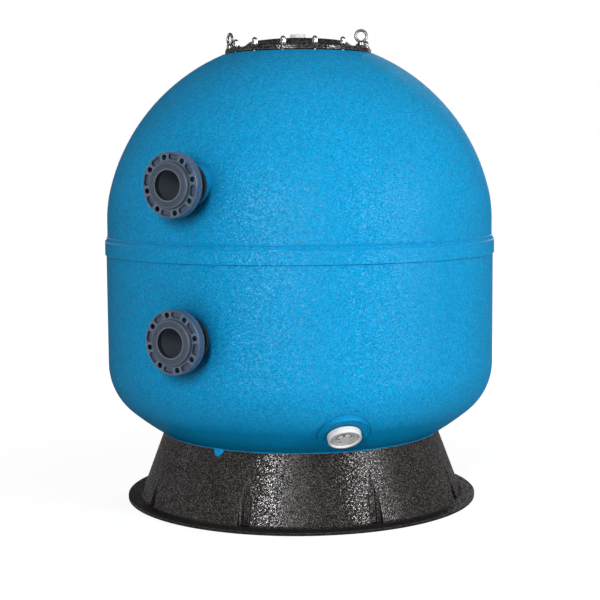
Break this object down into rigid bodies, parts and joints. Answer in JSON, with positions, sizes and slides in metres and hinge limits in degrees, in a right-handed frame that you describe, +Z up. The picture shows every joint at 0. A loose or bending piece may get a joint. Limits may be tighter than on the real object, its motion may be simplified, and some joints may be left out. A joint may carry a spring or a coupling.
{
  "type": "swimming pool sand filter",
  "caption": "Glass-fibre pool filter vessel on a flared skirt, with a bolted manhole lid, flanged inlet and outlet, collector laterals and a screw-capped drain.",
  "frame": {"origin": "centre of the foot's underside, which is the centre of the anchor bolt circle", "axes": "+Z up through the lid, -Y out of the two flanged ports, +X to the right seen from the ports"},
  "size_m": [1.4178, 1.5329, 1.6933],
  "materials": {
    "gelcoat": "glossy blue gelcoat over glass-fibre laminate",
    "skirt_black": "smooth black moulding",
    "lid_black": "black moulding with pale flecks",
    "rubber": "soft black rubber",
    "steel": "bright stainless steel",
    "vent_grey": "pale grey plastic",
    "pipe_grey": "dark grey pipe",
    "flange_grey": "dark grey moulded stub flange",
    "ring_slate": "slate blue-grey moulded ring",
    "inner_plastic": "plain inner moulding",
    "drain_white": "white moulded plastic"
  },
  "bodies": {
    "vessel": {"lower_shell": "gelcoat", "upper_shell": "gelcoat", "base_skirt": "skirt_black", "lid_gasket": "rubber", "lid_studs": "steel", "inlet_pipe": "pipe_grey", "inlet_stub_flange": "flange_grey", "inlet_elbow": "pipe_grey", "inlet_riser": "pipe_grey", "diffuser": "inner_plastic", "outlet_pipe": "pipe_grey", "outlet_stub_flange": "flange_grey", "outlet_elbow": "pipe_grey", "outlet_downpipe": "pipe_grey", "collector_hub": "inner_plastic", "lateral_1": "inner_plastic", "lateral_2": "inner_plastic", "lateral_3": "inner_plastic", "lateral_4": "inner_plastic", "lateral_5": "inner_plastic", "lateral_6": "inner_plastic", "lateral_7": "inner_plastic", "lateral_8": "inner_plastic", "drain_body": "drain_white", "drain_gasket": "rubber", "drain_locknut": "drain_white", "drain_strainer": "inner_plastic"},
    "lid": {"manhole_lid": "lid_black", "vent_body": "vent_grey", "vent_locknut": "vent_grey"},
    "lid_fasteners": {"lid_nuts": "steel", "lid_washers": "steel", "eye_nut_left": "steel", "eye_nut_right": "steel"},
    "vent_seal_body": {"vent_seal": "rubber"},
    "vent_knob_body": {"vent_knob": "vent_grey"},
    "inlet_ring": {"inlet_backing_ring": "ring_slate"},
    "outlet_ring": {"outlet_backing_ring": "ring_slate"},
    "drain_seal_body": {"drain_seal": "rubber"},
    "drain_cap_body": {"drain_cap": "drain_white"}
  },
  "joints": [
    {"name": "lid_lift", "type": "slide", "parent": "vessel", "child": "lid", "axis": [0, 0, 1], "range_m": [0, 0.25]},
    {"name": "nuts_off", "type": "slide", "parent": "lid", "child": "lid_fasteners", "axis": [0, 0, 1], "range_m": [0, 0.05]},
    {"name": "vent_rise", "type": "slide", "parent": "lid", "child": "vent_seal_body", "axis": [0, 0, 1], "range_m": [0, 0.006]},
    {"name": "vent_turn", "type": "hinge", "parent": "vent_seal_body", "child": "vent_knob_body", "pos_m": [0, 0, 1.68], "axis": [0, 0, 1], "range_deg": [0, 720]},
    {"name": "inlet_ring_turn", "type": "hinge", "parent": "vessel", "child": "inlet_ring", "pos_m": [0, -0.795, 1.154], "axis": [0, -1, 0], "continuous": true},
    {"name": "outlet_ring_turn", "type": "hinge", "parent": "vessel", "child": "outlet_ring", "pos_m": [0, -0.795, 0.651], "axis": [0, -1, 0], "continuous": true},
    {"name": "drain_cap_out", "type": "slide", "parent": "vessel", "child": "drain_seal_body", "axis": [0.4417, -0.4687, -0.765], "range_m": [0, 0.012]},
    {"name": "drain_cap_turn", "type": "hinge", "parent": "drain_seal_body", "child": "drain_cap_body", "pos_m": [0.43622, -0.4629, 0.32611], "axis": [0.4417, -0.4687, -0.765], "range_deg": [0, 720]}
  ],
  "couplings": [
    {"joint": "vent_rise", "follows": "vent_turn", "m_per_rad": 0.00047746},
    {"joint": "drain_cap_out", "follows": "drain_cap_turn", "m_per_rad": 0.00095492}
  ]
}
